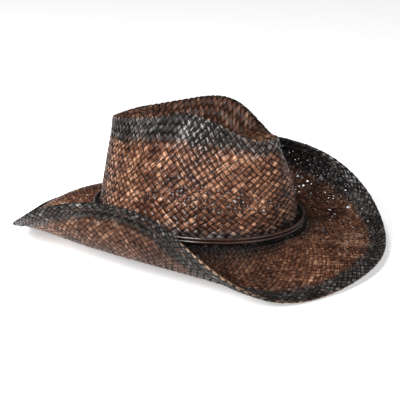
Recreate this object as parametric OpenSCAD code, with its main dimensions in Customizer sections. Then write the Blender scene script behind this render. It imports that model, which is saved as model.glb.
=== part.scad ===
// Cowboy hat: woven straw crown and rolled brim, folded and wired brim edge, sweatband and a
// hat band of two cords. Millimetres, +Z up. The front of the hat points to -Y and the
// wearer's left is +X. The hat rests on its brim at Z = 0.

/* [Head opening] */
// Half length of the crown's outer oval at the head line
head_half_length = 105; // [95:1:115]
// Half width of the crown's outer oval at the head line
head_half_width = 87; // [78:1:96]
// Height of the head line above the table
head_height = 30.5; // [15:0.5:60]

/* [Crown] */
// Thickness of the woven crown wall
crown_wall = 1.8; // [1:0.1:3]
// Mean height of the crown's ridge above the head line
ridge_height = 100; // [80:1:125]
// How much higher the ridge runs at the sides than at the ends
ridge_side_rise = 11.5; // [0:0.5:20]
// Half width of the ridge before the pinch narrows it
ridge_half_width = 48; // [35:1:70]
// Reach of the ridge towards the front
ridge_front = 91; // [70:1:100]
// Reach of the ridge towards the back
ridge_back = 101; // [70:1:104]
// Share of the ridge's width that the front pinch takes away
front_pinch = 0.6; // [0:0.05:0.8]
// Share of the ridge's width that the back takes away
back_pinch = 0.35; // [0:0.05:0.6]
// Height of the floor of the top dent above the head line
dent_floor = 78; // [60:1:95]
// Drop from the ridge to the shoulder where the wall starts
shoulder_drop = 14; // [8:1:24]
// Fullness of the two cheeks beside the pinched front
cheek_fullness = 4; // [0:0.5:8]

/* [Brim] */
// Thickness of the woven brim
brim_wall = 1.6; // [1:0.1:3]
// Mean width of the brim measured along its surface
brim_width = 87; // [70:1:110]
// Share of the brim's width that stays straight next to the crown
brim_straight = 0.175; // [0.05:0.025:0.5]
// Mean slope of the brim where it leaves the crown, degrees
start_slope = -14.5; // [-30:0.5:10]
// Mean slope of the brim at its edge, degrees
edge_slope = 37; // [0:1:60]
// Extra roll of the two sides at the edge, degrees
side_roll = 90; // [40:1:120]

/* [Brim edge] */
// Width of the folded hem
hem_width = 7; // [4:0.5:12]
// Thickness of one layer of the hem
hem_wall = 1; // [0.5:0.1:2]
// Diameter of the wire inside the fold
wire_diameter = 1.5; // [1:0.1:2]
// Diameter of the sewing thread
thread_diameter = 0.7; // [0.4:0.1:1.2]

/* [Sweatband] */
// Thickness of the sweatband
sweatband_wall = 1.2; // [0.6:0.1:2]
// Gap between the sweatband and the crown wall
sweatband_gap = 0.4; // [0.2:0.1:1]
// Width of the tape that joins the sweatband's ends at the back
tape_width = 12; // [6:1:20]

/* [Hat band] */
// Diameter of each cord
cord_diameter = 3; // [2:0.2:5]
// Height of the lower cord's centre above the head line
lower_cord_height = 4; // [3:0.5:10]
// Rise from the lower cord's centre to the upper cord's centre
cord_pitch = 3.4; // [2.5:0.1:8]
// Half width of the cords' loop
loop_half_width = 88.5; // [85:0.5:95]
// Half length of the cords' loop, which stands off the crown at both ends
loop_half_length = 110; // [105:0.5:118]
// Position of the keeper around the crown, degrees from the front towards the left
keeper_position = 150; // [90:1:180]
// Length of the keeper along the cords
keeper_length = 16; // [8:1:30]
// Thickness of the keeper's leather
keeper_wall = 0.9; // [0.6:0.1:2]

/* [Part] */
// Part to draw

/* [Hidden] */
around = 72;                 // stations around the hat
step = 360 / around;
crown_rows = 20;             // rows from the head line to the middle of the dent
roll_rows = 9;               // rows across the rolled part of the brim
wire_pocket = wire_diameter + 0.4;
centre = [-5.5, 3.5, 0];     // middle of the head opening, as the left side reaches further out
sweatband_rows = [0.003, 0.02, 0.04, 0.066];  // along the crown's profile
tape_rows = [0.013, 0.027, 0.046, 0.065];
straw = [0.42, 0.27, 0.19];
charcoal = [0.2, 0.19, 0.19];
cloth = [0.16, 0.13, 0.12];
leather = [0.24, 0.13, 0.09];
steel = [0.62, 0.62, 0.64];

function unit(v) = v / norm(v);

// Head line and the horizontal direction away from the crown, a degrees from the front.
function head(a) = [head_half_width * sin(a), -head_half_length * cos(a), head_height];
function away(a) = unit([sin(a) / head_half_width, -cos(a) / head_half_length, 0]);

// ---- crown ----------------------------------------------------------------------------
// A quadratic B-spline through the first and last of the control points c, u from 0 to 1.
function spline(c, u) =
    let (n = len(c) - 2, j = min(floor(u * n), n - 1), t = u * n - j,
         p = j == 0 ? c[0] : (c[j] + c[j + 1]) / 2,
         q = j == n - 1 ? c[n + 1] : (c[j + 1] + c[j + 2]) / 2)
    (1 - t) * (1 - t) * p + 2 * t * (1 - t) * c[j + 1] + t * t * q;

function ridge(a) =
    let (narrow = 1 - front_pinch * pow((1 + cos(a)) / 2, 2) - back_pinch * pow((1 - cos(a)) / 2, 2),
         reach = cos(a) > 0 ? ridge_front : ridge_back)
    [ridge_half_width * narrow * sin(a), -reach * cos(a),
     head_height + ridge_height + 1.5 * cos(a) - ridge_side_rise * cos(2 * a)
     + 3 * cos(4 * a) + 2 * cos(5 * a)];

// How full the wall is at a: most beside the pinched front, nothing at the back.
function cheek(a) = cheek_fullness * exp(-pow((min(a, 360 - a) - 40) / 22, 2));

// The wall rises with a slight belly to the shoulder, turns over the ridge and runs down
// into the dent.
function crown_controls(a) =
    let (base = head(a), top = ridge(a), floor_z = head_height + dent_floor,
         belly = 0.5 * (0.75 - 0.13 * cos(a)),
         lean = [top.x - base.x, top.y - base.y, 0])
    [base,
     base + belly * lean + cheek(a) / 2 * away(a) + [0, 0, (top.z - base.z) / 2],
     top - 0.08 * lean + cheek(a) * away(a) - [0, 0, shoulder_drop],
     top + [0, 0, 3],
     [0.65 * top.x, 0.65 * top.y, 0.6 * top.z + 0.4 * floor_z],
     [0.4 * top.x, 0.4 * top.y + 3, floor_z],
     [0, 5, floor_z]];

function crown_point(a, u) = spline(crown_controls(a), u);
function crown_normal(a, u) =
    unit(cross(crown_point(a + 1, u) - crown_point(a - 1 + (a < 1 ? 360 : 0), u),
               crown_point(a, u + 0.004) - crown_point(a, max(u - 0.004, 0))));
// A point d inside the crown's outer surface.
function under_crown(a, u, d) = crown_point(a, u) - d * crown_normal(a, u);
// The corner where the inner faces of crown and brim meet.
function inner_corner(a) = head(a) - crown_wall * away(a) - [0, 0, brim_wall];

// ---- brim -----------------------------------------------------------------------------
function brim_reach(a) = brim_width + 2 * cos(a) - 4.5 * cos(2 * a);
function first_slope(a) = start_slope - 6 * cos(a) + 8.5 * cos(2 * a) + 4.5 * cos(4 * a) + 7 * sin(a);
function last_slope(a) = edge_slope + 9 * cos(a) - side_roll * cos(2 * a) + 17.5 * cos(4 * a)
    - 16.5 * sin(a) + 10.5 * sin(2 * a);

// Chord over arc for a bend of d degrees.
function straightness(d) = abs(d) < 0.01 ? 1 : sin(d / 2) / (d / 2 * PI / 180);
function heading(d) = [cos(d), sin(d)];

// Upper face of the brim: straight at first, then bent evenly to its slope at the edge.
function brim_point(a, s) =
    let (w = brim_reach(a), p = first_slope(a), q = last_slope(a),
         f = max(s - brim_straight, 0) / (1 - brim_straight), bend = (q - p) * f,
         v = min(s, brim_straight) * w * heading(p)
             + max(s - brim_straight, 0) * w * straightness(bend) * heading(p + bend / 2))
    head(a) + v[0] * away(a) + [0, 0, v[1]];
function brim_normal(a, s) =
    unit(cross(brim_point(a, s) - brim_point(a, s - 0.02), brim_point(a + 1, s) - brim_point(a - 1, s)));

function hem_start(a) = 1 - hem_width / brim_reach(a);
// A point d above the brim's upper face, d below zero for below it.
function off_brim(a, s, d) = brim_point(a, s) + d * brim_normal(a, s);
// A point beyond the brim's edge: x out along the surface and d above the upper face.
function past_edge(a, x, d) =
    off_brim(a, 1, d) + x * unit(brim_point(a, 1) - brim_point(a, hem_start(a)));

function brim_rows(a) = concat([0, brim_straight / 2],
    [for (i = [0 : roll_rows]) brim_straight + (hem_start(a) - brim_straight) * i / roll_rows], [1]);

// ---- solids ---------------------------------------------------------------------------
// Sections joined one to the next, in a closed loop or with a cap at each end. An open loft's
// section runs out along one face and back along the other, so four-sided pieces fill its
// caps. The flip turns the diagonals over, so that two solids that share faces share their
// triangles too.
module loft(sections, loop = true, flip = false) {
    n = len(sections);
    m = len(sections[0]);
    sides = [for (i = [0 : n - (loop ? 1 : 2)], j = [0 : m - 1])
        let (p = i * m + j, q = i * m + (j + 1) % m,
             r = ((i + 1) % n) * m + (j + 1) % m, s = ((i + 1) % n) * m + j)
        each flip ? [[s, q, p], [s, r, q]] : [[r, q, p], [s, r, p]]];
    end = (n - 1) * m;
    caps = loop ? [] : [for (j = [0 : m / 2 - 2])
        each [[j, j + 1, m - 2 - j, m - 1 - j],
              [end + m - 1 - j, end + m - 2 - j, end + j + 1, end + j]]];
    translate(centre) polyhedron([for (s = sections) each s], concat(sides, caps), convexity = 8);
}

// A round thread or wire through the points, with the given side and up directions.
function round_section(centre, side, up, r, n) =
    [for (i = [0 : n - 1]) centre + r * (cos(i * 360 / n) * side - sin(i * 360 / n) * up)];

module crown() {
    outer = [for (i = [0 : crown_rows - 1], j = [0 : around - 1])
        crown_point(j * step, i / crown_rows)];
    inner = [for (i = [0 : crown_rows - 1], j = [0 : around - 1])
        i == 0 ? inner_corner(j * step) : under_crown(j * step, i / crown_rows, crown_wall)];
    m = crown_rows * around;
    top = crown_point(0, 1);
    points = concat(outer, inner, [top, top - [0, 0, crown_wall]]);
    quads = [for (i = [0 : crown_rows - 2], j = [0 : around - 1])
        [i * around + j, i * around + (j + 1) % around,
         (i + 1) * around + (j + 1) % around, (i + 1) * around + j]];
    last = (crown_rows - 1) * around;
    faces = concat(
        [for (q = quads) each [[q[2], q[1], q[0]], [q[3], q[2], q[0]]]],
        [for (q = quads) each [[m + q[0], m + q[1], m + q[2]], [m + q[0], m + q[2], m + q[3]]]],
        [for (j = [0 : around - 1]) let (k = (j + 1) % around)
            each [[2 * m, last + k, last + j], [2 * m + 1, m + last + j, m + last + k],
                  [j, k, m + j], [k, m + k, m + j]]]);
    color(straw) translate(centre) polyhedron(points, faces, convexity = 8);
}

module brim() {
    color(straw) loft([for (j = [0 : around - 1]) let (a = j * step, rows = brim_rows(a), n = len(rows))
        concat([for (s = rows) brim_point(a, s)],
               [for (i = [n - 1 : -1 : 1]) off_brim(a, rows[i], -brim_wall)],
               [inner_corner(a)])]);
}

// The brim's edge folded round the wire, one leg on each face of the brim.
module brim_hem() {
    low = brim_wall + hem_wall;
    color(charcoal) loft([for (j = [0 : around - 1]) let (a = j * step, h = hem_start(a))
        [off_brim(a, h, hem_wall), past_edge(a, 0.8, hem_wall),
         past_edge(a, wire_pocket + hem_wall, -0.3), past_edge(a, wire_pocket + hem_wall, 0.3 - brim_wall),
         past_edge(a, 0.8, -low), off_brim(a, h, -low), off_brim(a, h, -brim_wall),
         off_brim(a, 1, -brim_wall), past_edge(a, wire_pocket, -brim_wall), past_edge(a, wire_pocket, 0),
         brim_point(a, 1), brim_point(a, h)]], flip = true);
}

module brim_wire() {
    color(steel) loft([for (j = [0 : around - 1]) let (a = j * step)
        round_section(past_edge(a, wire_pocket / 2, -brim_wall / 2),
            unit(past_edge(a, 1, 0) - past_edge(a, 0, 0)), brim_normal(a, 1), wire_diameter / 2, 6)]);
}

// One running seam on each face of the hem, near its inner edge.
module hem_stitching() {
    r = thread_diameter / 2;
    for (face = [hem_wall + r + 0.35, -brim_wall - hem_wall - r - 0.35])
        color(charcoal) loft([for (j = [0 : around - 1])
            let (a = j * step, s = 1 - (hem_width - 1.5) / brim_reach(a),
                 along = unit(brim_point(a, 1) - brim_point(a, hem_start(a))))
            round_section(0.8 * off_brim(a, hem_start(a), face) + 0.2 * past_edge(a, 0.8, face),
                along, brim_normal(a, s), r, 6)]);
}

module sweatband() {
    d = crown_wall + sweatband_gap;
    color(cloth) loft([for (j = [0 : around - 1]) let (a = j * step)
        concat([for (i = [0 : 3]) under_crown(a, sweatband_rows[i], d + sweatband_wall)],
               [for (i = [3 : -1 : 0]) under_crown(a, sweatband_rows[i], d)])]);
}

// Cloth tape over the butted ends of the sweatband, at the back of the head, above its seam.
module sweatband_tape() {
    d = crown_wall + sweatband_gap + sweatband_wall + 0.25;
    half = tape_width / 2 / head_half_width * 180 / PI;
    color(charcoal) loft([for (a = [180 - half : half / 2 : 180 + half])
        concat([for (i = [0 : 3]) under_crown(a, tape_rows[i], d + 0.5)],
               [for (i = [3 : -1 : 0]) under_crown(a, tape_rows[i], d)])], loop = false);
}

// Seam that holds the sweatband's lower edge.
module sweatband_stitching() {
    r = thread_diameter / 2;
    d = crown_wall + sweatband_gap + sweatband_wall + r + 0.05;
    color(charcoal) loft([for (j = [0 : around - 1]) let (a = j * step)
        round_section(under_crown(a, 0.01, d), away(a), [0, 0, 1], r, 6)]);
}

// ---- hat band -------------------------------------------------------------------------
function loop_point(a, lift) = [loop_half_width * sin(a), -loop_half_length * cos(a), head_height + lift];
function loop_side(a) = unit([sin(a) / loop_half_width, -cos(a) / loop_half_length, 0]);

module cord(lift) {
    loft([for (j = [0 : around - 1]) let (a = j * step)
        round_section(loop_point(a, lift), loop_side(a), [0, 0, 1], cord_diameter / 2, 8)]);
}

module band_cord_upper() color(leather) cord(lower_cord_height + cord_pitch);

module band_cord_lower() color(leather) cord(lower_cord_height);

// Leather sleeve wrapped round both cords, its edges meeting on the crown side.
module band_keeper() {
    x = cord_diameter / 2 + 0.1;
    z = x + cord_pitch / 2;
    w = keeper_wall;
    half = keeper_length / 2 / loop_half_length * 180 / PI;
    section = [[-x, -0.1], [-x, -z], [x, -z], [x, z], [-x, z], [-x, 0.1], [-x - w, 0.1],
               [-x - w, z + w], [x + w, z + w], [x + w, -z - w], [-x - w, -z - w], [-x - w, -0.1]];
    color(leather) loft([for (a = [keeper_position - half : half / 2 : keeper_position + half])
        let (c = loop_point(a, lower_cord_height + cord_pitch / 2))
        [for (p = section) c + p[0] * loop_side(a) + [0, 0, p[1]]]], loop = false);
}

crown();
brim();
brim_hem();
brim_wire();
hem_stitching();
sweatband();
sweatband_tape();
sweatband_stitching();
band_cord_upper();
band_cord_lower();
band_keeper();
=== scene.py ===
"""Looks of a cowboy hat plaited from flat straw strips, with a folded edge and a two-cord band.

Metres, +Z up. The front of the hat points to -Y and the wearer's left is +X.
"""

import logging
import math
from dataclasses import dataclass, field
from enum import Enum
from typing import Callable, Union

import bmesh
import bpy
import numpy as np
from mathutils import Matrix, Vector


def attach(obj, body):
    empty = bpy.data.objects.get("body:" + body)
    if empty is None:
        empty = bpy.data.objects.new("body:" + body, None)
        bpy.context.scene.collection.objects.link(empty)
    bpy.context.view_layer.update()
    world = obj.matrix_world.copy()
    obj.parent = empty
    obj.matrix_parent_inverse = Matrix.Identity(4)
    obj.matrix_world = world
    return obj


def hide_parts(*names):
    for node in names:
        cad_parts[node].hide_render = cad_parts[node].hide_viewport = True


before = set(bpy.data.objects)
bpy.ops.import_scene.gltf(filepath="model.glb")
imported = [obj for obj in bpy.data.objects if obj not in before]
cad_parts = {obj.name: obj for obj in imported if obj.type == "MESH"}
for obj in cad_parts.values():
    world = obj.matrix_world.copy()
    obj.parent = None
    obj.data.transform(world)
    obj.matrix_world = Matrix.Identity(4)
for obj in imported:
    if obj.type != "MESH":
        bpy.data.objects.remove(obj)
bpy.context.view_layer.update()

log = logging.getLogger("hat")
Array = np.ndarray
Number = Union[float, "Value"]
Point = tuple[float, float, float]
Strips = tuple[Array, Array, Array, Callable[[Array, Array], Array] | None]


class Body(Enum):
    """The two bodies of the hat."""

    HAT = "hat"
    BAND = "hat_band"


class Edge(Enum):
    """Edge of the plaited rectangle that a strip leaves over, or none while it is inside."""

    INSIDE = -1
    FRONT = 0
    LEFT = 1
    BACK = 2
    RIGHT = 3


# ---- small maths --------------------------------------------------------------------------
def unit(v: Array) -> Array:
    """Vectors of length one."""
    return v / np.maximum(np.linalg.norm(v, axis=-1, keepdims=True), 1e-12)


def smooth(x: Array, low: float, high: float) -> Array:
    """A soft step from 0 at low to 1 at high."""
    t = np.clip((x - low) / (high - low), 0, 1)
    return t * t * (3 - 2 * t)


def mound(x: Array, middle: float | Array, reach: float | Array) -> Array:
    """A soft mound, 1 at its middle."""
    return np.exp(-((x - middle) / reach) ** 2)


def passed(points: Array) -> Array:
    """Distance passed at each point of a line."""
    return np.concatenate([[0], np.cumsum(np.linalg.norm(np.diff(points, axis=0), axis=1))])


def wander(rng: np.random.Generator, rows: Array, place: Array, reach: float) -> Array:
    """Soft random drift along strips.

    Args:
        rng: source of the draws.
        rows: strip number of each point.
        place: position of each point along its strip, in crossings.
        reach: crossings between two independent draws.

    Returns:
        A value between -1 and 1 for each point.
    """
    shift = place.min()
    cell = (place - shift) / reach
    draws = rng.uniform(-1, 1, (int(rows.max()) + 1, int(cell.max()) + 3))
    low = np.floor(cell).astype(int)
    t = smooth(cell - low, 0, 1)
    return draws[rows, low] * (1 - t) + draws[rows, low + 1] * t


@dataclass(frozen=True)
class HatForm:
    """The faces that the straw follows. Angles run from the front towards the wearer's left."""

    half_length: float = 0.105
    half_width: float = 0.087
    head_height: float = 0.0305
    middle: tuple[float, float] = (-0.0055, 0.0035)
    crown_wall: float = 0.0018
    ridge_height: float = 0.1
    ridge_half_width: float = 0.048
    ridge_front: float = 0.091
    ridge_back: float = 0.101
    dent_floor: float = 0.078
    shoulder_drop: float = 0.014
    cheek_fullness: float = 0.004
    ridge_place: float = 0.47
    brim_wall: float = 0.0016
    brim_width: float = 0.087
    brim_straight: float = 0.175
    hem_width: float = 0.007

    def head(self, a: Array) -> Array:
        """Points of the head line."""
        return np.stack([self.half_width * np.sin(a), -self.half_length * np.cos(a),
                         np.full_like(a, self.head_height)], -1)

    def away(self, a: Array) -> Array:
        """Horizontal directions away from the crown."""
        return unit(np.stack([np.sin(a) / self.half_width, -np.cos(a) / self.half_length,
                              np.zeros_like(a)], -1))

    def placed(self, points: Array) -> Array:
        """Points moved to where the hat stands."""
        return points + np.array([self.middle[0], self.middle[1], 0.0])

    def ridge(self, a: Array) -> Array:
        """Points that the crown's ridge is drawn through."""
        front, back = (1 + np.cos(a)) / 2, (1 - np.cos(a)) / 2
        narrow = 1 - 0.6 * front**2 - 0.35 * back**2
        reach = np.where(np.cos(a) > 0, self.ridge_front, self.ridge_back)
        lift = 0.0015 * np.cos(a) - 0.0115 * np.cos(2 * a) + 0.003 * np.cos(4 * a) + 0.002 * np.cos(5 * a)
        return np.stack([self.ridge_half_width * narrow * np.sin(a), -reach * np.cos(a),
                         self.head_height + self.ridge_height + lift], -1)

    def crown(self, a: Array, u: Array) -> Array:
        """Points of the crown's outer face.

        Args:
            a: angles.
            u: 0 at the head line, about 0.47 at the ridge, 1 in the middle of the dent.

        Returns:
            The points, before the hat is placed.
        """
        base, top, away = self.head(a), self.ridge(a), self.away(a)
        up = np.array([0.0, 0.0, 1.0])
        lean = (top - base) * np.array([1.0, 1.0, 0.0])
        floor_z = self.head_height + self.dent_floor
        degrees = np.degrees(a) % 360
        cheek = self.cheek_fullness * mound(np.minimum(degrees, 360 - degrees), 40, 22)
        cheek = cheek[..., None] * away
        belly = (0.5 * (0.75 - 0.13 * np.cos(a)))[..., None]
        flat = np.full_like(a, floor_z)
        c = np.stack([
            base,
            base + belly * lean + cheek / 2 + (top - base) / 2 * up,
            top - 0.08 * lean + cheek - self.shoulder_drop * up,
            top + 0.003 * up,
            np.stack([0.65 * top[..., 0], 0.65 * top[..., 1], 0.6 * top[..., 2] + 0.4 * floor_z], -1),
            np.stack([0.4 * top[..., 0], 0.4 * top[..., 1] + 0.003, flat], -1),
            np.stack([0 * a, 0 * a + 0.005, flat], -1),
        ])
        count = len(c) - 2
        j = np.clip(np.floor(u * count).astype(int), 0, count - 1)
        t = (u * count - j)[..., None]
        pick = np.indices(j.shape)
        here, mid, beyond = c[(j, *pick)], c[(j + 1, *pick)], c[(j + 2, *pick)]
        p = np.where(j[..., None] == 0, here, (here + mid) / 2)
        q = np.where(j[..., None] == count - 1, beyond, (mid + beyond) / 2)
        return (1 - t) ** 2 * p + 2 * t * (1 - t) * mid + t**2 * q

    def brim_reach(self, a: Array) -> Array:
        """Width of the brim along its face."""
        return self.brim_width + 0.002 * np.cos(a) - 0.0045 * np.cos(2 * a)

    def brim(self, a: Array, s: Array) -> Array:
        """Points of the brim's upper face.

        Args:
            a: angles.
            s: 0 at the head line, 1 at the edge.

        Returns:
            The points, before the hat is placed.
        """
        w = self.brim_reach(a)
        first = -14.5 - 6 * np.cos(a) + 8.5 * np.cos(2 * a) + 4.5 * np.cos(4 * a) + 7 * np.sin(a)
        last = (37 + 9 * np.cos(a) - 90 * np.cos(2 * a) + 17.5 * np.cos(4 * a) - 16.5 * np.sin(a)
                + 10.5 * np.sin(2 * a))
        rolled = np.maximum(s - self.brim_straight, 0)
        bend = np.radians((last - first) * rolled / (1 - self.brim_straight))
        first = np.radians(first)
        chord = np.sinc(bend / (2 * np.pi)) * rolled * w
        flat = np.minimum(s, self.brim_straight) * w
        out = flat * np.cos(first) + chord * np.cos(first + bend / 2)
        rise = flat * np.sin(first) + chord * np.sin(first + bend / 2)
        return self.head(a) + out[..., None] * self.away(a) + rise[..., None] * np.array([0.0, 0.0, 1.0])

    def brim_up(self, a: Array, s: Array) -> Array:
        """Directions square to the brim's upper face."""
        return unit(np.cross(self.brim(a, s) - self.brim(a, s - 0.02),
                             self.brim(a + 0.0175, s) - self.brim(a - 0.0175, s)))

    def hem(self, a: Array, x: Array, z: Array) -> Array:
        """Points near the brim's edge.

        Args:
            a: angles.
            x: distance out past the brim's edge, below zero for inside it.
            z: height above the brim's upper face.

        Returns:
            The points, before the hat is placed.
        """
        s = 1 + np.minimum(x, 0) / self.brim_reach(a)
        base = self.brim(a, s) + z[..., None] * self.brim_up(a, s)
        edge = np.ones_like(a)
        start = 1 - self.hem_width / self.brim_reach(a)
        out = unit(self.brim(a, edge) - self.brim(a, start))
        return base + np.maximum(x, 0)[..., None] * out


FORM = HatForm()


def even_angles(curve: Callable[[Array], Array], total: float) -> Callable[[Array], Array]:
    """Angles that share a closed curve out evenly.

    Args:
        curve: points of the curve for angles.
        total: number of steps that the whole curve is shared into.

    Returns:
        A function from a step count to an angle, both starting at the front.
    """
    a = np.linspace(0, 2 * np.pi, 721)
    run = passed(curve(a))
    run *= total / run[-1]

    def angle(q: Array) -> Array:
        """The angle at each step count."""
        turns = np.floor(q / total)
        return np.interp(q - turns * total, run, a) + turns * 2 * np.pi

    return angle


# ---- meshes -------------------------------------------------------------------------------
def closed_mesh(name: str, bm: bmesh.types.BMesh) -> bpy.types.Mesh:
    """Turns a bmesh into a mesh and frees it."""
    mesh = bpy.data.meshes.new(name)
    bm.to_mesh(mesh)
    bm.free()
    return mesh


def vertices_of(mesh: bpy.types.Mesh) -> Array:
    """The places of a mesh's vertices, one row for each."""
    flat = np.empty(len(mesh.vertices) * 3)
    mesh.vertices.foreach_get("co", flat)
    return flat.reshape(-1, 3)


@dataclass
class Patches:
    """Grids in one mesh, with each vertex's grid number and its place on the grid, 0 to 1."""

    name: str
    counts: list[int]
    across: int
    mesh: bpy.types.Mesh = field(init=False)
    grid: Array = field(init=False)
    along: Array = field(init=False)
    side: Array = field(init=False)

    def __post_init__(self) -> None:
        """Makes the flat grids."""
        bm = bmesh.new()
        for count in self.counts:
            bmesh.ops.create_grid(bm, x_segments=count, y_segments=self.across, size=1.0)
        self.mesh = closed_mesh(self.name, bm)
        self.grid = np.repeat(np.arange(len(self.counts)), [(n + 1) * (self.across + 1) for n in self.counts])
        self.along, self.side = (vertices_of(self.mesh)[:, :2].T + 1) / 2

    def shape(self, points: Array) -> None:
        """Moves the vertices to their points."""
        self.mesh.vertices.foreach_set("co", np.ascontiguousarray(points, np.float32).ravel())
        self.mesh.update()

    def mark(self, name: str, values: Array) -> None:
        """Stores one number for each vertex."""
        self.mesh.attributes.new(name, "FLOAT", "POINT").data.foreach_set(
            "value", np.ascontiguousarray(values, np.float32))

    def unroll(self, u: Array, v: Array) -> None:
        """Stores the UV map."""
        lay_uv(self.mesh, u, v)


def lay_uv(mesh: bpy.types.Mesh, u: Array, v: Array) -> None:
    """Gives a mesh its UV map from two numbers for each vertex."""
    corner = np.empty(len(mesh.loops), int)
    mesh.loops.foreach_get("vertex_index", corner)
    layer = mesh.uv_layers.new(name="UVMap")
    layer.data.foreach_set("uv", np.stack([u[corner], v[corner]], 1).astype(np.float32).ravel())


def finished(name: str, mesh: bpy.types.Mesh, body: Body, stands_for: tuple[str, ...],
             material: bpy.types.Material, wall: float = 0.0, sharp: float = 40.0) -> bpy.types.Object:
    """Makes a mesh a piece of the hat.

    Args:
        name: the piece's name.
        mesh: its mesh, in place.
        body: the body that it moves with.
        stands_for: the solids that it replaces.
        material: its finish.
        wall: thickness given to an open sheet, or 0.
        sharp: angle between faces, in degrees, from which their edge is sharp.

    Returns:
        The piece.
    """
    piece = bpy.data.objects.new(name, mesh)
    bpy.context.scene.collection.objects.link(piece)
    if wall:
        thick = piece.modifiers.new("wall", "SOLIDIFY")
        thick.thickness, thick.offset, thick.use_rim = wall, 0.0, True
        thick.use_even_offset = False
        graph = bpy.context.evaluated_depsgraph_get()
        walled = bpy.data.meshes.new_from_object(piece.evaluated_get(graph))
        piece.modifiers.clear()
        piece.data = walled
        bpy.data.meshes.remove(mesh)
    piece.data.name = name
    piece.data.materials.clear()
    piece.data.materials.append(material)
    piece.data.shade_smooth()
    piece.data.set_sharp_from_angle(angle=math.radians(sharp))
    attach(piece, body.value)
    if stands_for:
        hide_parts(*stands_for)
    log.info("%s: %d faces", name, len(piece.data.polygons))
    return piece


def closed_tube(name: str, around: int, section: int, place: Callable[[Array, Array], Array]) -> Patches:
    """A loop with a closed section, rolled up from one grid.

    Args:
        name: the mesh's name.
        around: steps round the loop.
        section: steps round the section.
        place: points for the two places, 0 to 1.

    Returns:
        The patches, joined at both seams.
    """
    made = Patches(name, [around], section)
    made.shape(place(made.along, made.side))
    made.unroll(made.along, made.side)
    weld(made.mesh)
    return made


def weld(mesh: bpy.types.Mesh, reach: float = 1e-6) -> None:
    """Joins the vertices that share a place and turns the faces outwards."""
    bm = bmesh.new()
    bm.from_mesh(mesh)
    bmesh.ops.remove_doubles(bm, verts=bm.verts, dist=reach)
    bmesh.ops.recalc_face_normals(bm, faces=bm.faces)
    bm.to_mesh(mesh)
    bm.free()


# ---- node making --------------------------------------------------------------------------
class Value:
    """An output socket that takes part in arithmetic."""

    def __init__(self, paint: "Paint", socket: bpy.types.NodeSocket) -> None:
        """Keeps the socket and the tree that it is in."""
        self.paint, self.socket = paint, socket

    def maths(self, operation: str, first: Number, second: Number) -> "Value":
        """One Math node."""
        return self.paint.node("ShaderNodeMath", {"operation": operation}, {0: first, 1: second})

    def __add__(self, other: Number) -> "Value":
        """Sum."""
        return self.maths("ADD", self, other)

    def __sub__(self, other: Number) -> "Value":
        """Difference."""
        return self.maths("SUBTRACT", self, other)

    def __rsub__(self, other: Number) -> "Value":
        """Difference, turned round."""
        return self.maths("SUBTRACT", other, self)

    def __mul__(self, other: Number) -> "Value":
        """Product."""
        return self.maths("MULTIPLY", self, other)

    __radd__ = __add__
    __rmul__ = __mul__


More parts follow.
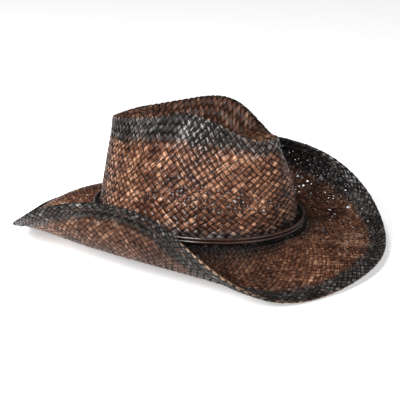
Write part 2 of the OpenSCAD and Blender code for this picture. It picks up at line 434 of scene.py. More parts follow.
class Paint:
    """A material and the nodes that make its finish."""

    def __init__(self, name: str) -> None:
        """Starts an empty material."""
        self.material = bpy.data.materials.new(name)
        self.material.use_nodes = True
        self.tree = self.material.node_tree
        self.tree.nodes.clear()

    def node(self, kind: str, settings: dict | None = None, inputs: dict | None = None,
             output: int | str = 0) -> Value:
        """Adds one node.

        Args:
            kind: the node's type.
            settings: properties set first. "stops" gives a ramp's (place, colour) pairs.
            inputs: values or links for its sockets.
            output: the socket to go on with.

        Returns:
            The node's output.
        """
        made = self.tree.nodes.new(kind)
        for name, value in (settings or {}).items():
            if name != "stops":
                setattr(made, name, value)
                continue
            ramp = made.color_ramp.elements
            while len(ramp) < len(value):
                ramp.new(0.5)
            for stop, (place, colour) in zip(ramp, value):
                stop.position, stop.color = place, (*colour, 1.0)
        for name, value in (inputs or {}).items():
            if isinstance(value, Value):
                self.tree.links.new(value.socket, made.inputs[name])
            else:
                made.inputs[name].default_value = value
        return Value(self, made.outputs[output])

    def attribute(self, name: str) -> Value:
        """The number stored for each vertex under a name."""
        return self.node("ShaderNodeAttribute", {"attribute_name": name}, output="Fac")

    def unrolled(self) -> tuple[Value, Value]:
        """The two numbers of the UV map."""
        uv = self.node("ShaderNodeUVMap", {"uv_map": "UVMap"})
        return tuple(self.node("ShaderNodeSeparateXYZ", {}, {0: uv}, output=i) for i in (0, 1))

    def here(self) -> Value:
        """Object coordinates."""
        return self.node("ShaderNodeTexCoord", {}, output="Object")

    def sine(self, turns: Value) -> Value:
        """The sine of a number of turns."""
        return self.node("ShaderNodeMath", {"operation": "SINE"}, {0: turns * (2 * math.pi)})

    def vector(self, x: Number, y: Number, z: Number = 0.0) -> Value:
        """A vector from three numbers."""
        return self.node("ShaderNodeCombineXYZ", {}, {0: x, 1: y, 2: z})

    def noise(self, where: Value, scale: float, detail: float = 2.0, rough: float = 0.5) -> Value:
        """Noise between about 0.2 and 0.8."""
        return self.node("ShaderNodeTexNoise", {},
                         {"Vector": where, "Scale": scale, "Detail": detail, "Roughness": rough})

    def step(self, value: Value, low: float, high: float, first: float = 0.0, last: float = 1.0) -> Value:
        """A soft step between two values."""
        return self.node("ShaderNodeMapRange", {"interpolation_type": "SMOOTHSTEP"},
                         {"Value": value, "From Min": low, "From Max": high, "To Min": first, "To Max": last})

    def ramp(self, value: Value, stops: list[tuple[float, Point]]) -> Value:
        """A colour ramp."""
        return self.node("ShaderNodeValToRGB", {"stops": stops}, {"Fac": value})

    def mix(self, share: Number, first: Value | Point, second: Value | Point, blend: str = "MIX") -> Value:
        """One colour over another."""
        colours = [c if isinstance(c, Value) else (*c, 1.0) for c in (first, second)]
        return self.node("ShaderNodeMix", {"data_type": "RGBA", "blend_type": blend},
                         {0: share, 6: colours[0], 7: colours[1]}, output=2)

    def bump(self, height: Value, distance: float, strength: float = 1.0) -> Value:
        """Normals from a height."""
        return self.node("ShaderNodeBump", {}, {"Height": height, "Distance": distance, "Strength": strength})

    def close(self, inputs: dict) -> bpy.types.Material:
        """Ends in one Principled shader and returns the material."""
        shader = self.node("ShaderNodeBsdfPrincipled", {}, inputs)
        end = self.tree.nodes.new("ShaderNodeOutputMaterial")
        self.tree.links.new(shader.socket, end.inputs["Surface"])
        return self.material


@dataclass(frozen=True)
class StrawFinish:
    """Flat dyed straw with sprayed charcoal shading, along each strip, with painted shade and painted
    highlights.
    """

    name: str = "straw"
    dark: Point = (0.013, 0.0042, 0.0022)
    middle: Point = (0.112, 0.0345, 0.0155)
    light: Point = (0.29, 0.116, 0.059)
    # Painted highlight: the brightest brown stop.
    glint: Point = (0.72, 0.4, 0.245)
    soot: Point = (0.0045, 0.0038, 0.0034)
    ash: Point = (0.028, 0.0215, 0.019)
    # Painted sheen: the brightest charcoal stop, a grey sheen.
    silver: Point = (0.27, 0.24, 0.225)
    # Pale colour for real wear on the folded edge and for a line of painted light on the brim.
    worn: Point = (0.5, 0.31, 0.2)
    roughness: float = 0.34
    cloud_scale: float = 38.0
    mist_scale: float = 70.0
    # Painted shade in the gaps, along the strip rims and where the deep mark is high.
    gap_shade: float = 0.02
    rim_shade: float = 0.38
    deepening: float = 0.8
    evening: float = 0.45
    coat: float = 0.3
    relief: float = 0.0011

    def make(self) -> bpy.types.Material:
        """Builds the material.

        Returns:
            The material, which reads the UV map and the marks spray, shown, rim, strip, rub and deep.
        """
        p = Paint(self.name)
        u, v = p.unrolled()
        here = p.here()
        strip, deep = p.attribute("strip"), p.attribute("deep")
        fibre = p.noise(p.vector(u * 0.5, v * 9.0, strip * 7.1), 1.0, 4.0, 0.65)
        fine = p.noise(p.vector(u * 1.6, v * 26.0, strip * 3.3), 1.0, 2.0)
        cell = p.noise(p.vector(u * 1.1, strip * 11.7, strip * 5.3), 1.0, 1.0)
        cloud = p.noise(here, self.cloud_scale, 3.0)
        # Fold lines along each strip, used for bumps and painted as lighter highlight streaks.
        crease_and_glint = p.step(p.noise(p.vector(u * 0.7, v * 7.5, strip * 9.7), 1.0, 1.0), 0.36, 0.64)
        # The dye varies from strip to strip, along each strip and in clouds, less where the painted shade is
        # deep. The lighter fold lines along each strip are painted highlights, and the brightest tones run
        # into a painted highlight on the brown and a painted sheen on the charcoal.
        uneven = strip * 0.3 + cell * 1.05 + crease_and_glint * 0.48 + fibre * 1.3 + cloud * 1.05
        tone = (uneven - 2.09) * (deep * -self.evening + 1.0) + 0.53
        brown = p.ramp(tone, [(0.05, self.dark), (0.42, self.middle), (0.7, self.light), (1.0, self.glint)])
        grey = p.ramp(tone, [(0.1, self.soot), (0.6, self.ash), (1.0, self.silver)])
        mist = p.noise(here, self.mist_scale, 4.0, 0.65)
        spray = p.step(p.attribute("spray") + mist * 1.0 + cell * 0.4 - 0.7, 0.12, 0.86)
        # A pale colour: real wear on the folded edge, and painted light in a line beside the crown on the
        # brim.
        rub = p.step(p.attribute("rub") + fine * 0.9 + cloud * 0.9 - 0.9, 0.45, 0.75)
        dyed = p.mix(rub, p.mix(spray, brown, grey), self.worn)
        # Painted shade: a strip is darkened where it dives under another, along its two rims and where the
        # deep mark is high.
        shade = p.step(p.attribute("shown"), 0.08, 0.74, self.gap_shade, 1.0)
        rim = p.step(p.attribute("rim"), 0.5, 1.0, 1.0, self.rim_shade)
        painted_shade = shade * (1.0 - deep * self.deepening) * rim
        rough = self.roughness + fine * 0.22 - 0.08 + (1.0 - shade) * 0.5
        return p.close({"Base Color": p.mix(1.0, dyed, p.vector(painted_shade, painted_shade, painted_shade), "MULTIPLY"),
                        "Roughness": rough, "Specular IOR Level": 0.2,
                        "Coat Weight": painted_shade * (spray * 0.15 + self.coat), "Coat Roughness": 0.2,
                        "Normal": p.bump(fibre * 0.4 + crease_and_glint * 0.4 + fine * 0.2, self.relief)})


@dataclass(frozen=True)
class LeatherFinish:
    """Glossy dark leather with a fine grain."""

    name: str = "cord_leather"
    deep: Point = (0.018, 0.0065, 0.004)
    warm: Point = (0.075, 0.028, 0.017)
    grain: float = 900.0
    roughness: float = 0.24

    def make(self) -> bpy.types.Material:
        """Builds the material from Object coordinates."""
        p = Paint(self.name)
        here = p.here()
        grain = p.noise(here, self.grain, 3.0)
        pores = p.node("ShaderNodeTexVoronoi", {}, {"Vector": here, "Scale": self.grain * 1.6})
        cloud = p.noise(here, 120.0, 2.0)
        tone = cloud * 0.8 + grain * 0.5 - 0.3
        rough = self.roughness + grain * 0.2 - 0.05
        return p.close({"Base Color": p.ramp(tone, [(0.15, self.deep), (0.8, self.warm)]),
                        "Roughness": rough, "Coat Weight": 0.5, "Coat Roughness": 0.18,
                        "Normal": p.bump(grain * 0.5 + pores * 0.5, 0.00008, 0.5)})


@dataclass(frozen=True)
class ClothFinish:
    """Plain woven cloth, its threads laid along the UV map."""

    name: str
    thread: Point
    gap: Point
    threads_along: float
    threads_across: float
    roughness: float = 0.85

    def make(self) -> bpy.types.Material:
        """Builds the material from the UV map."""
        p = Paint(self.name)
        u, v = p.unrolled()
        weave = p.sine(u * self.threads_along) * p.sine(v * self.threads_across) * 0.5 + 0.5
        here = p.here()
        fuzz = p.noise(here, 1500.0, 3.0)
        cloud = p.noise(here, 60.0, 2.0)
        tone = weave * 0.45 + fuzz * 0.5 + cloud * 0.35 - 0.15
        return p.close({"Base Color": p.ramp(tone, [(0.1, self.gap), (0.9, self.thread)]),
                        "Roughness": self.roughness + fuzz * 0.2 - 0.1, "Sheen Weight": 0.25,
                        "Normal": p.bump(weave * 0.6 + fuzz * 0.4, 0.0003, 0.7)})


@dataclass(frozen=True)
class ThreadFinish:
    """Two-ply sewing thread."""

    name: str = "thread"
    deep: Point = (0.012, 0.0105, 0.01)
    pale: Point = (0.06, 0.052, 0.048)
    twists: float = 5.0

    def make(self) -> bpy.types.Material:
        """Builds the material from the UV map and Object coordinates."""
        p = Paint(self.name)
        u, v = p.unrolled()
        here = p.here()
        ply = p.sine(u * self.twists + v * 2.0)
        fuzz = p.noise(here, 2500.0, 2.0)
        tone = ply * 0.3 + fuzz * 0.6 + 0.2
        return p.close({"Base Color": p.ramp(tone, [(0.1, self.deep), (0.9, self.pale)]),
                        "Roughness": 0.6 + fuzz * 0.3, "Normal": p.bump(tone, 0.0001, 0.6)})


@dataclass(frozen=True)
class WireFinish:
    """Drawn steel wire with fine lengthwise lines and a little bloom."""

    name: str = "drawn_wire"
    steel: Point = (0.5, 0.5, 0.52)
    dull: Point = (0.26, 0.25, 0.24)

    def make(self) -> bpy.types.Material:
        """Builds the material from Object coordinates."""
        p = Paint(self.name)
        here = p.here()
        drawn = p.noise(p.node("ShaderNodeVectorMath", {"operation": "MULTIPLY"},
                               {0: here, 1: (120.0, 120.0, 3000.0)}), 1.0, 3.0)
        bloom = p.noise(here, 140.0, 3.0)
        return p.close({"Base Color": p.mix(p.step(bloom, 0.45, 0.7), self.steel, self.dull),
                        "Metallic": 1.0, "Roughness": 0.25 + drawn * 0.3,
                        "Normal": p.bump(drawn, 0.00005, 0.5)})


# ---- the plait ----------------------------------------------------------------------------
@dataclass
class Openings:
    """Places where strips are shoved aside and leave a hole, as rows of x, y and size."""

    places: Array
    wrap: float
    reach: float = 0.42

    def push(self, x: Array, y: Array) -> tuple[Array, Array]:
        """Moves points away from the nearby openings, x being counted round the hat."""
        dx, dy = np.zeros_like(x), np.zeros_like(y)
        for hx, hy, size in self.places:
            ox = (x - hx + self.wrap / 2) % self.wrap - self.wrap / 2
            oy = y - hy
            far = np.hypot(ox, oy)
            near = far < 3 * self.reach
            gap = np.maximum(far[near], 0.02)
            push = size * mound(gap, 0, self.reach) / gap
            dx[near] += ox[near] * push
            dy[near] += oy[near] * push
        return x + dx, y + dy


@dataclass
class Plait:
    """Flat strips in two crossing families, laid over a face.

    A strip of the first family keeps x + y, and one of the second keeps x - y, both counted in
    strips. Both families run over and under each other by turns.
    """

    face: Callable[[Array, Array, Array], Array]
    outward: float
    depth: float
    seed: int
    lift: float = 0.00078
    width: float = 0.87
    width_spread: float = 0.1
    wall: float = 0.00036
    steps: int = 4
    across: int = 3
    ripple: float = 0.00022
    drift: float = 0.085
    tilt: float = 0.0003
    crown_of_strip: float = 0.0001
    dive: float = 0.72

    def spread(self, name: str, family: int, strips: Strips) -> tuple[Patches, dict[str, Array]]:
        """Lays one family of strips.

        Args:
            name: the mesh's name.
            family: 1 or -1.
            strips: their numbers, where each starts and ends along its length, in crossings, and
                the edge that each point lies beyond, where the face needs it.

        Returns:
            The patches, shaped, and what was worked out for each vertex.
        """
        starts, lows, highs, sides = strips
        rng = np.random.default_rng(self.seed + family)
        counts = [max(2, int(round((h - l) * self.steps))) for l, h in zip(lows, highs)]
        made = Patches(name, counts, self.across)
        row = made.grid
        t = lows[row] + made.along * (highs - lows)[row]
        share = rng.uniform(-1, 1, len(starts))
        width = self.width + self.width_spread * (0.6 * share[row] + 0.7 * wander(rng, row, t, 2.3))
        drift = self.drift * wander(rng, row, t, 3.1)
        line = starts[row] + (made.side - 0.5) * np.minimum(width, 1.0) + drift
        edges = sides(row, t) if sides else None

        def at(long: Array, wide: Array) -> tuple[Array, Array]:
            """Face coordinates from the place along and across a strip."""
            if family > 0:
                return (wide + long) / 2, (wide - long) / 2
            return (wide + long) / 2, (long - wide) / 2

        x, y = at(t, line)
        points = self.face(x, y, edges)
        step = 0.02
        tx = self.face(x + step, y, edges) - self.face(x - step, y, edges)
        ty = self.face(x, y + step, edges) - self.face(x, y - step, edges)
        normal = unit(np.cross(tx, ty)) * self.outward
        wave = np.cos(np.pi * (starts[row] + t)) * family
        slant = (made.side - 0.5) * 2
        fibre = row * (self.across + 1) + np.round(made.side * self.across).astype(int)
        rise = self.lift * np.sign(wave) * np.abs(wave) ** self.dive
        rise += self.ripple * wander(rng, fibre, t, 0.8)
        rise += self.tilt * slant * wander(rng, row, t, 1.0)
        rise -= self.crown_of_strip * slant**2
        made.shape(FORM.placed(points + normal * (rise - self.depth)[:, None]))
        # How high each strip runs and how near its rims a point is; the straw darkens by these as painted
        # shade.
        made.mark("shown", np.abs(wave))
        made.mark("rim", np.abs(slant))
        made.mark("strip", share[row] * 0.5 + 0.5)
        made.unroll(t * 0.5, made.side * 0.6 + starts[row] * 1.37)
        return made, {"x": x, "y": y, "edges": edges}

    def laid(self, stem: str, strips: Callable[[int], Strips],
             marks: Callable[[dict[str, Array]], dict[str, Array]], solid: str,
             straw: bpy.types.Material) -> list[bpy.types.Object]:
        """Lays both families and makes each a piece of the hat.

        Args:
            stem: start of the pieces' names.
            strips: gives a family's strips.
            marks: gives the straw's marks for the laid points.
            solid: the solid that the two pieces stand for.
            straw: the straw's finish.

        Returns:
            One piece for each family of strips.
        """
        made = []
        for family, hand in ((1, "right"), (-1, "left")):
            patches, at = self.spread(f"{stem}_{hand}", family, strips(family))
            for name, values in marks(at).items():
                patches.mark(name, values)
            made.append(finished(patches.name, patches.mesh, Body.HAT,
                                 (solid,) if family > 0 else (), straw, self.wall))
        return made


@dataclass
class Crown:
    """The crown, plaited outwards from a rectangle of strips on its top."""

    half_x: float = 5.0
    half_y: float = 11.5
    wall_rows: float = 15.5
    top_step: float = 0.0103
    foot_step: float = 0.0068
    spare_rows: float = 0.3
    wall_height: float = 0.13
    angles: int = 144
    stops: int = 48
    specks: int = 15
    speck_seed: int = 19
    plait_seed: int = 21

    def __post_init__(self) -> None:
        """Prepares the tables that share the crown's outlines and profiles out evenly."""
        self.total = 4 * (self.half_x + self.half_y)
        self.ridge_angle = even_angles(lambda a: FORM.crown(a, np.full_like(a, FORM.ridge_place)), self.total)
        self.foot_angle = even_angles(FORM.head, self.total)
        a = np.linspace(0, 2 * np.pi, self.angles + 1)
        self.down = self.profile_table(a, FORM.ridge_place, 0.0)
        self.inward = self.profile_table(a, FORM.ridge_place, 1.0)
        self.gaps = self.opened()

    def profile_table(self, a: Array, first: float, last: float) -> Array:
        """Profile places that share each profile's length out evenly.

        Args:
            a: angles of the profiles.
            first: profile place to start from.
            last: profile place to end at.

        Returns:
            One row of places for each angle.
        """
        u = np.linspace(first, last, 200)
        rows = []
        for angle in a:
            run = passed(FORM.crown(np.full_like(u, angle), u))
            rows.append(np.interp(np.linspace(0, run[-1], self.stops + 1), run, u))
        return np.array(rows)

    def looked_up(self, table: Array, a: Array, f: Array) -> Array:
        """Profile places from a table, for angles and shares of the profile."""
        row = (a % (2 * np.pi)) / (2 * np.pi) * self.angles
        low = np.minimum(np.floor(row).astype(int), self.angles - 1)
        col = np.clip(f, 0, 1) * self.stops
        left = np.minimum(np.floor(col).astype(int), self.stops - 1)
        tr, tc = row - low, col - left
        first = table[low, left] * (1 - tc) + table[low, left + 1] * tc
        second = table[low + 1, left] * (1 - tc) + table[low + 1, left + 1] * tc
        return first * (1 - tr) + second * tr

    def wall_share(self, s: Array) -> Array:
        """Share of the wall's height passed after s rows from the ridge."""
        fall = (self.top_step - self.foot_step) / self.wall_rows / 2
        total = self.top_step * self.wall_rows - fall * self.wall_rows**2
        return (self.top_step * s - fall * s**2) / total

    def outline(self, x: Array, y: Array, edges: Array) -> tuple[Array, Array]:
        """Place round the rectangle and rows beyond its edge, for points beyond a named edge."""
        hx, hy = self.half_x, self.half_y
        kinds = [edges == e.value for e in (Edge.FRONT, Edge.LEFT, Edge.BACK, Edge.RIGHT)]
        p = np.select(kinds, [x, hx + hy + y, 2 * hx + 2 * hy - x, 3 * hx + 3 * hy - y], 0.0)
        s = np.select(kinds, [-y - hy, x - hx, y - hy, -x - hx], -1.0)
        return p, s

    def face(self, x: Array, y: Array, edges: Array) -> Array:
        """Points of the crown's outer face for places on the unfolded plait."""
        hx, hy = self.half_x, self.half_y
        p, s = self.outline(x, y, edges)
        inside = s < 0
        ratio = np.maximum(np.maximum(np.abs(x) / hx, np.abs(y) / hy), 0.03)
        bx, by = x / ratio, y / ratio
        wide = np.abs(x) / hx >= np.abs(y) / hy
        own = np.where(wide, np.where(x > 0, Edge.LEFT.value, Edge.RIGHT.value),
                       np.where(y > 0, Edge.BACK.value, Edge.FRONT.value))
        q, _ = self.outline(bx, by, own)
        p = np.where(inside, q, p) % self.total
        p, s = self.gaps.push(p, s)
        share = self.wall_share(np.maximum(s, 0))
        blend = np.where(inside, 0, np.clip(s / self.wall_rows, 0, 1))
        a = (1 - blend) * self.ridge_angle(p) + blend * self.foot_angle(p)
        u_top = self.looked_up(self.inward, a, 1 - ratio)
        u_wall = self.looked_up(self.down, a, share) - 0.013 * np.maximum(share - 1, 0) / 0.05
        return FORM.crown(a, np.where(inside, u_top, u_wall))

    def opened(self) -> Openings:
        """Small openings low on the front right of the crown."""
        rng = np.random.default_rng(self.speck_seed)
        rows = []
        for _ in range(self.specks):
            s = int(rng.integers(14, 26)) / 2
            p = int(rng.integers(-15, 1)) + (0.0 if s % 1 == 0 else 0.5)
            if all(math.hypot(p - q[0], s - q[1]) > 1.2 for q in rows):
                rows.append((p, s, rng.uniform(0.12, 0.19)))
        return Openings(np.array(rows), self.total)

    def strips(self, family: int) -> Strips:
        """The strips of one family: numbers, ends and the edges that they leave over."""
        hx, hy = self.half_x, self.half_y
        reach = int(hx + hy)
        n = np.arange(-reach, reach + 1).astype(float)
        to_side, to_end = 2 * hx - n, 2 * hy + n
        from_side, from_end = -2 * hx - n, n - 2 * hy
        ends = (Edge.FRONT, Edge.BACK) if family > 0 else (Edge.BACK, Edge.FRONT)
        leave, enter = np.minimum(to_side, to_end), np.maximum(from_side, from_end)
        high_edge = np.where(to_side <= to_end, Edge.LEFT.value, ends[0].value)
        low_edge = np.where(from_side >= from_end, Edge.RIGHT.value, ends[1].value)
        more = 2 * (self.wall_rows + self.spare_rows)

        def sides(row: Array, t: Array) -> Array:
            """The edge that each point of a strip lies beyond."""
            return np.where(t > leave[row], high_edge[row],
                            np.where(t < enter[row], low_edge[row], Edge.INSIDE.value))

        return n, enter - more, leave + more, sides

    def build(self, straw: bpy.types.Material) -> list[bpy.types.Object]:
        """Plaits the crown.

        Args:
            straw: the straw's finish.

        Returns:
            One piece for each family of strips.
        """
        plait = Plait(self.face, 1.0, FORM.crown_wall / 2, self.plait_seed)
        return plait.laid("crown_strips", self.strips, self.marks, "crown", straw)

    def marks(self, at: dict[str, Array]) -> dict[str, Array]:
        """How the dye changes over the crown: charcoal below the ridge and at the foot, and painted shade in
        the dent.

        Args:
            at: places on the unfolded plait.

        Returns:
            The straw's marks.
        """
        x, y = at["x"], at["y"]
        _, s = self.outline(x, y, at["edges"])
        top = s < 0
        below = self.wall_share(np.maximum(s, 0)) * self.wall_height
        ratio = np.maximum(np.abs(x) / self.half_x, np.abs(y) / self.half_y)
        frontal = smooth(-y, 3.0, 13.0) * (1 - smooth(x, -2.0, 3.0))
        far = smooth(x, -1.0, 4.0)
        rear = smooth(y, -3.0, 3.0) * (1 - far)
        band = smooth(below, -0.007 + 0.004 * rear, 0.004 + 0.006 * rear)
        band *= np.where(top, smooth(ratio, 0.84, 1.0), 1.0)
        band *= 1 - smooth(below, 0.017 - 0.006 * frontal, 0.046 - 0.012 * frontal)
        foot = smooth(below, 0.1, 0.125) * 0.8
        inside = top * (0.95 * far * smooth(ratio, 0.86, 1.0) - 0.12)
        sprayed = np.maximum(band * (1 - 0.25 * frontal), foot)
        # Painted shade darkens the dent; the back of the charcoal band and the foot are darker too.
        sunk = top * (0.74 - 0.3 * smooth(ratio, 0.75, 1.0) * (1 - far))
        sunk += 0.35 * (s >= 0) * smooth(y, 2.0, 12.0) * band * (1 - far)
        return {"spray": np.where(top, np.maximum(sprayed * 0.8 - 0.1, inside), sprayed),
                "rub": np.zeros_like(s),
                "deep": sunk + 0.4 * smooth(below, 0.11, 0.132)}


@dataclass
class Brim:
    """The brim, plaited from finer strips in two slanting families."""

    strips: int = 148
    rows: float = 16.0
    start: float = -0.35
    hole_count: int = 105
    hole_seed: int = 47
    plait_seed: int = 61

    def __post_init__(self) -> None:
        """Prepares the tables that share the brim's outlines out evenly."""
        self.foot_angle = even_angles(FORM.head, self.strips)
        self.edge_angle = even_angles(lambda a: FORM.brim(a, np.ones_like(a)), self.strips)
        self.gaps = self.opened()

    def place(self, x: Array, y: Array) -> tuple[Array, Array]:
        """Angles and shares of the brim's width for places on the plait."""
        f = y / self.rows
        mixed = np.clip(f, 0, 1)
        a = (1 - mixed) * self.foot_angle(x) + mixed * self.edge_angle(x)
        return a, f * (1 - 0.0012 / FORM.brim_reach(a))

    def face(self, x: Array, y: Array, edges: Array | None) -> Array:
        """Points of the brim's upper face for places on the plait."""
        a, s = self.place(*self.gaps.push(x, y))
        return FORM.brim(a, s)

    def opened(self) -> Openings:
        """Openings in the brim, most of them on the wearer's left."""
        rng = np.random.default_rng(self.hole_seed)
        rows = []
        while len(rows) < self.hole_count:
            x, y = rng.uniform(0, self.strips), rng.uniform(1.5, self.rows - 1.5)
            a, s = (float(v[0]) for v in self.place(np.array([x]), np.array([y])))
            left = math.exp(-((math.degrees(a) - 56) / 20) ** 2 - ((s - 0.5) / 0.3) ** 2)
            if rng.uniform() < 0.02 + 0.98 * left:
                row = round(y * 2) / 2
                rows.append((round(x) + 0.5 if float(row).is_integer() else round(x), row,
                             rng.uniform(0.24, 0.5)))
        return Openings(np.array(rows), self.strips)

    def build(self, straw: bpy.types.Material) -> list[bpy.types.Object]:
        """Plaits the brim.

        Args:
            straw: the straw's finish.

        Returns:
            One piece for each family of strips.
        """
        plait = Plait(self.face, -1.0, FORM.brim_wall / 2, self.plait_seed, lift=0.00055, width=0.92,
                      wall=0.00032, width_spread=0.07, steps=3, across=2, ripple=0.00014)
        return plait.laid("brim_strips", self.family, self.marks, "brim", straw)

    def family(self, family: int) -> Strips:
        """The strips of one family."""
        n = np.arange(self.strips).astype(float)
        if family > 0:
            return n, n - 2 * self.rows, n - 2 * self.start, None
        return n, n + 2 * self.start, n + 2 * self.rows, None

    def marks(self, at: dict[str, Array]) -> dict[str, Array]:
        """How the dye changes over the brim, with painted shade, and a pale line of painted light beside the
        crown on the right, where the band's shadow ends.
        """
        a, s = self.place(at["x"], at["y"])
        turn = np.degrees(a) % 360
        # Painted light: a pale line beside the crown on the right, where the band's shadow ends.
        line = s * FORM.brim_reach(a) - 0.0052 - 0.004 * smooth(turn, 314, 334)
        worn = 0.5 * mound(line, 0, 0.0009) * mound(turn, 316, 17)
        return {"spray": self.spray(a, s), "rub": worn, "deep": self.depth(a, s)}

    def spray(self, a: Array, s: Array) -> Array:
        """How strongly the charcoal covers the brim: full at the edge, some by the crown."""
        reach, turn = FORM.brim_reach(a), np.degrees(a) % 360
        # The charcoal is wider on the wearer's left, where it is partly painted shadow of the crown, and at
        # the front right.
        wide = 0.018 * mound(turn, 78, 34) + 0.017 * mound(turn, 311, 17)
        edge = 1 - smooth((1 - s) * reach, 0.005 + 0.6 * wide, 0.022 + wide)
        foot = 0.75 * (1 - smooth(s * reach, 0.002, 0.022))
        return np.maximum(edge, foot)

    def depth(self, a: Array, s: Array) -> Array:
        """How much darker the brim is drawn: painted shade by the crown and in the crown's shadow, and darker
        where the right side is rolled.
        """
        turn = np.degrees(a) % 360
        # Darker where the right side is rolled; painted shadow of the crown on the left side; painted shade
        # at the front right beside the crown.
        rolled = mound(turn, 275, 42) * smooth(s, 0.3, 0.55) + mound(turn, 72, 32) * smooth(s, 0.2, 0.5)
        rolled += 0.7 * mound(turn, 318, 20)
        # Painted shade by the crown; the back is lighter, a painted sheen.
        by_crown = 1 - smooth(s, 0.04, 0.48)
        return np.clip(0.3 + 0.34 * rolled - 0.55 * mound(turn, 200, 32) + 0.5 * by_crown, 0, 0.95)


@dataclass
class Hem:
    """The plaited edge, folded over the wire on both faces of the brim, and its two seams."""

    strips: int = 148
    leg: float = 0.0078
    mid: float = 0.0005
    bulge: float = 0.0016
    row_height: float = 0.0052
    seam_gap: float = 0.0056
    stitches: int = 236
    stitch_length: float = 0.0034
    thread: float = 0.00032
    stitch_pitch: float = 0.0075
    stitch_bow: float = 0.00012
    stitch_stray: float = 0.00015
    overlap: float = 0.0008
    plait_seed: int = 83
    stitch_seed: int = 5

    def __post_init__(self) -> None:
        """Works out the fold's profile."""
        self.edge_angle = even_angles(lambda a: FORM.brim(a, np.ones_like(a)), self.strips)
        turn = np.linspace(0, np.pi, 25)
        half = FORM.brim_wall / 2 + self.mid
        start = [self.overlap - self.leg]
        x = np.concatenate([start, self.overlap + self.bulge * np.sin(turn), start])
        z = np.concatenate([[half], half * np.cos(turn), [-half]]) - FORM.brim_wall / 2
        run = passed(np.stack([x, z], -1))
        self.profile = run, x, z
        self.length = float(run[-1])
        self.rows = self.length / self.row_height

    def face(self, x: Array, y: Array, edges: Array | None) -> Array:
        """Points of the fold for places on its plait, from the upper leg round to the lower."""
        run, px, pz = self.profile
        along = y / self.rows * self.length
        return FORM.hem(self.edge_angle(x), np.interp(along, run, px), np.interp(along, run, pz))

    def build(self, straw: bpy.types.Material, thread: bpy.types.Material) -> list[bpy.types.Object]:
        """Plaits the fold and sews it.

        Args:
            straw: the straw's finish.
            thread: the thread's finish.

        Returns:
            The fold's two families of strips and its stitches.
        """
        plait = Plait(self.face, -1.0, 0.0, self.plait_seed, lift=0.00034, width=0.95, wall=0.0003,
                      width_spread=0.06, across=2, ripple=0.00012)
        made = plait.laid("hem_strips", self.family, self.marks, "brim_hem", straw)
        return [*made, self.sewn(thread)]

    def family(self, family: int) -> Strips:
        """The strips of one family."""
        n = np.arange(self.strips).astype(float)
        return (n, n - 2 * self.rows, n, None) if family > 0 else (n, n, n + 2 * self.rows, None)

    def marks(self, at: dict[str, Array]) -> dict[str, Array]:
        """How the dye changes over the fold, which shows most wear at the right side's front."""
        turn = np.degrees(self.edge_angle(at["x"])) % 360
        round_fold = at["y"] / self.rows
        rolled = mound(turn, 306, 17)
        fold = mound(round_fold, 0.43 + 0.04 * rolled, 0.09 + 0.06 * rolled)
        lip = mound(turn, 338, 16) * smooth(round_fold, 0.36, 0.5)
        return {"spray": 1.0 - 0.35 * smooth(round_fold, 0.6, 0.9) - 0.75 * lip,
                "rub": (0.3 + 0.6 * rolled) * fold,
                "deep": np.full_like(turn, 0.3)}

    def sewn(self, thread: bpy.types.Material) -> bpy.types.Object:
        """Running stitches on both faces of the hem."""
        bm = bmesh.new()
        count = 2 * self.stitches
        for _ in range(count):
            bmesh.ops.create_uvsphere(bm, u_segments=6, v_segments=6, radius=1.0)
        mesh = closed_mesh("hem_stitches", bm)
        ball = vertices_of(mesh).reshape(count, -1, 3)
        size = ball.shape[1]
        rng = np.random.default_rng(self.stitch_seed)
        index = np.arange(count)
        share = (index % self.stitches) / self.stitches * self.strips
        lower = (index >= self.stitches)[:, None]
        half = self.stitch_length / 2 * rng.uniform(0.85, 1.08, (count, 1))
        along = ball[:, :, 2] * half
        a = self.edge_angle(share[:, None] + along / self.stitch_pitch)
        face = np.where(lower, -FORM.brim_wall - 2 * self.mid, 2 * self.mid)
        bow = self.stitch_bow * (1 - ball[:, :, 2] ** 2) * np.where(lower, -1, 1)
        tuck = np.full_like(a, -self.seam_gap) + rng.uniform(-1, 1, (count, 1)) * self.stitch_stray
        x = tuck + ball[:, :, 0] * self.thread
        z = face + bow + ball[:, :, 1] * self.thread
        points = FORM.placed(FORM.hem(a, x, z)).reshape(count * size, 3)
        mesh.vertices.foreach_set("co", points.astype(np.float32).ravel())
        lay_uv(mesh, (ball[:, :, 2].ravel() + 1) / 2,
               np.arctan2(ball[:, :, 0], ball[:, :, 1]).ravel() / (2 * np.pi))
        weld(mesh, 1e-7)
        return finished("hem_stitches", mesh, Body.HAT, ("hem_stitching",), thread)


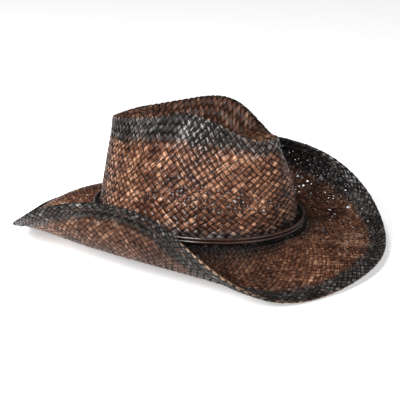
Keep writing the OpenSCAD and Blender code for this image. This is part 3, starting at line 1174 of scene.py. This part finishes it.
@dataclass
class Band:
    """The loose hat band: two leather cords and the sleeve that holds them together."""

    half_width: float = 0.0885
    half_length: float = 0.11
    radius: float = 0.00145
    heights: tuple[float, float] = (0.0074, 0.004)
    around: int = 360
    section: int = 12
    sleeve_turn: float = math.radians(150)
    sleeve_length: float = 0.0155
    sleeve_half: tuple[float, float] = (0.0022, 0.0039)
    squareness: float = 0.45

    def loop(self, a: Array, rise: Array, out: Array) -> Array:
        """Points beside a cord's middle line."""
        base = np.stack([self.half_width * np.sin(a), -self.half_length * np.cos(a),
                         FORM.head_height + rise], -1)
        away = unit(np.stack([np.sin(a) / self.half_width, -np.cos(a) / self.half_length, 0 * a], -1))
        return FORM.placed(base + out[..., None] * away)

    def build(self, leather: bpy.types.Material) -> list[bpy.types.Object]:
        """Makes the cords and their sleeve.

        Args:
            leather: the leather's finish.

        Returns:
            The three pieces.
        """
        made = []
        for height, name, phase in zip(self.heights, ("band_cord_upper", "band_cord_lower"), (0.4, 2.1)):
            def place(along: Array, side: Array) -> Array:
                """Points of the cord's skin, a little uneven as cut leather is."""
                a, turn = along * 2 * np.pi, side * 2 * np.pi
                r = self.radius * (1 + 0.03 * np.sin(23 * a + phase) + 0.02 * np.sin(41 * a))
                return self.loop(a, height + r * np.sin(turn), r * np.cos(turn))

            cord = closed_tube(name + "_skin", self.around, self.section, place)
            made.append(finished(name + "_skin", cord.mesh, Body.BAND, (name,), leather))
        made.append(self.sleeve(leather))
        return made

    def sleeve(self, leather: bpy.types.Material) -> bpy.types.Object:
        """The sleeve wrapped round both cords, its ends meeting on the crown side."""
        made = Patches("band_sleeve", [40], 10)
        turn = made.along * 2 * np.pi * 0.985 + np.pi * 1.0075
        c, s = np.cos(turn), np.sin(turn)
        out = self.sleeve_half[0] * np.sign(c) * np.abs(c) ** self.squareness
        rise = self.sleeve_half[1] * np.sign(s) * np.abs(s) ** self.squareness
        flare = 1 - 0.05 * (2 * made.side - 1) ** 4
        a = self.sleeve_turn + (made.side - 0.5) * self.sleeve_length / self.half_length
        mid = sum(self.heights) / 2
        made.shape(self.loop(a, mid + rise * flare, out * flare))
        made.unroll(made.along, made.side)
        weld(made.mesh)
        return finished("band_sleeve", made.mesh, Body.BAND, ("band_keeper",), leather,
                        0.0008, 60.0)


@dataclass
class Sweatband:
    """The cloth band inside the head opening, with its seam and the tape over its ends."""

    low: float = 0.003
    high: float = 0.066
    depth: float = 0.0028
    wall: float = 0.0011
    around: int = 240
    rows: int = 14
    tape_half: float = 0.0058
    tape_low: float = 0.0135
    tape_rise: float = 0.051
    tape_depth: float = 0.0039
    tape_wall: float = 0.0004
    seam_stitches: int = 150

    def inner(self, a: Array, u: Array, d: Array) -> Array:
        """Points inside the crown's outer face."""
        p = FORM.crown(a, u)
        n = unit(np.cross(FORM.crown(a + 0.0175, u) - FORM.crown(a - 0.0175, u),
                          FORM.crown(a, u + 0.004) - FORM.crown(a, u - 0.004)))
        return FORM.placed(p - d[..., None] * n)

    def build(self, cloth: bpy.types.Material, tape: bpy.types.Material,
              thread: bpy.types.Material) -> list[bpy.types.Object]:
        """Makes the band, its tape and its seam.

        Args:
            cloth: the band's finish.
            tape: the tape's finish.
            thread: the seam's finish.

        Returns:
            The three pieces.
        """
        band = Patches("sweatband_cloth", [self.around], self.rows)
        a = band.along * 2 * np.pi
        u = self.low + (self.high - self.low) * band.side
        soft = 0.00012 * np.sin(a * 31) * np.sin(np.pi * band.side) + 0.0002 * smooth(band.side, 0.9, 1.0)
        band.shape(self.inner(a, u, self.depth + soft))
        band.unroll(band.along, band.side)
        weld(band.mesh)
        cloth_piece = finished("sweatband_cloth", band.mesh, Body.HAT, ("sweatband",),
                               cloth, self.wall, 70.0)
        strip = Patches("sweatband_tape_cloth", [10], 12)
        turn = np.pi + (strip.along - 0.5) * 2 * self.tape_half / FORM.half_width
        strip.shape(self.inner(turn, self.tape_low + self.tape_rise * strip.side,
                               np.full_like(turn, self.tape_depth)))
        strip.unroll(strip.along, strip.side)
        tape_piece = finished("sweatband_tape_cloth", strip.mesh, Body.HAT, ("sweatband_tape",),
                              tape, self.tape_wall, 70.0)

        def seam(along: Array, side: Array) -> Array:
            """Points of the seam's thread, which dips into the cloth between stitches."""
            a, turn = along * 2 * np.pi, side * 2 * np.pi
            dip = 0.0002 * np.cos(a * self.seam_stitches)
            return self.inner(a, 0.01 + 0.0006 * np.sin(turn), 0.0038 + dip + 0.0003 * np.cos(turn))

        thread_loop = closed_tube("sweatband_seam", 900, 6, seam)
        seam_piece = finished("sweatband_seam", thread_loop.mesh, Body.HAT,
                              ("sweatband_stitching",), thread)
        return [cloth_piece, tape_piece, seam_piece]


# ---- the studio ---------------------------------------------------------------------------
def aimed(thing: bpy.types.Object, at: Point, aim: Point) -> None:
    """Puts a camera or a light into the scene, turned towards a point."""
    thing.location = at
    thing.rotation_mode = "QUATERNION"
    thing.rotation_quaternion = (Vector(aim) - Vector(at)).to_track_quat("-Z", "Y")
    bpy.context.scene.collection.objects.link(thing)


@dataclass(frozen=True)
class Studio:
    """Camera, soft lights and a plain pale floor."""

    eye: Point = (-1.08423, -0.70752, 0.49301)
    aim: Point = (-0.0055, 0.0035, 0.062387)
    lens: float = 123.68
    shift: tuple[float, float] = (0.00585, -0.04398)
    floor_half: float = 4.0
    floor_glow: float = 0.5
    surroundings: float = 0.14

    def camera(self) -> None:
        """Sets up the camera."""
        data = bpy.data.cameras.new("camera")
        data.lens, data.sensor_width = self.lens, 36.0
        data.shift_x, data.shift_y = self.shift
        data.clip_start, data.clip_end = 0.05, 50.0
        camera = bpy.data.objects.new("camera", data)
        aimed(camera, self.eye, self.aim)
        bpy.context.scene.camera = camera

    def lamp(self, name: str, at: Point, aim: Point, size: tuple[float, float], power: float) -> None:
        """Adds one soft rectangular light."""
        data = bpy.data.lights.new(name, "AREA")
        data.shape, data.size, data.size_y, data.energy = "RECTANGLE", size[0], size[1], power
        aimed(bpy.data.objects.new(name, data), at, aim)

    def floor(self) -> None:
        """Lays the floor."""
        bm = bmesh.new()
        bmesh.ops.create_grid(bm, x_segments=1, y_segments=1, size=self.floor_half)
        mesh = closed_mesh("floor", bm)
        floor = bpy.data.objects.new("floor", mesh)
        bpy.context.scene.collection.objects.link(floor)
        p = Paint("floor")
        mesh.materials.append(p.close({"Base Color": (0.93, 0.93, 0.93, 1.0), "Roughness": 0.9,
                                       "Specular IOR Level": 0.1, "Emission Color": (1.0, 1.0, 1.0, 1.0),
                                       "Emission Strength": self.floor_glow}))

    def light(self) -> None:
        """Sets up the surroundings and the lights."""
        scene = bpy.context.scene
        world = bpy.data.worlds.new("surroundings")
        world.use_nodes = True
        inputs = world.node_tree.nodes["Background"].inputs
        inputs["Color"].default_value = (1.0, 1.0, 1.0, 1.0)
        inputs["Strength"].default_value = self.surroundings
        scene.world = world
        scene.view_settings.view_transform = "Standard"
        self.lamp("key", (-1.85, 0.12, 1.25), (0.0, 0.0, 0.05), (0.55, 0.55), 47.0)
        self.lamp("sheen", (-1.0, 0.15, 1.85), (0.0, 0.0, 0.08), (0.5, 0.5), 18.0)
        self.lamp("fill", (-0.6, -1.9, 1.1), (0.0, 0.0, 0.05), (1.0, 0.7), 7.0)


def main() -> None:
    """Builds the hat and the studio round it."""
    logging.basicConfig(level=logging.INFO, format="%(name)s: %(message)s")
    studio = Studio()
    studio.camera()
    straw = StrawFinish().make()
    leather = LeatherFinish().make()
    thread = ThreadFinish().make()
    cloth = ClothFinish("sweatband_cloth", (0.1, 0.08, 0.07), (0.025, 0.02, 0.018), 420, 20).make()
    tape = ClothFinish("tape_cloth", (0.06, 0.055, 0.05), (0.012, 0.011, 0.01), 10, 24).make()
    Crown().build(straw)
    Brim().build(straw)
    Hem().build(straw, thread)
    Band().build(leather)
    pieces = Sweatband().build(cloth, tape, thread)
    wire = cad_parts["brim_wire"]
    for place in wire.material_slots:
        place.material = WireFinish().make()
    studio.floor()
    studio.light()


if __name__ == "__main__":
    main()
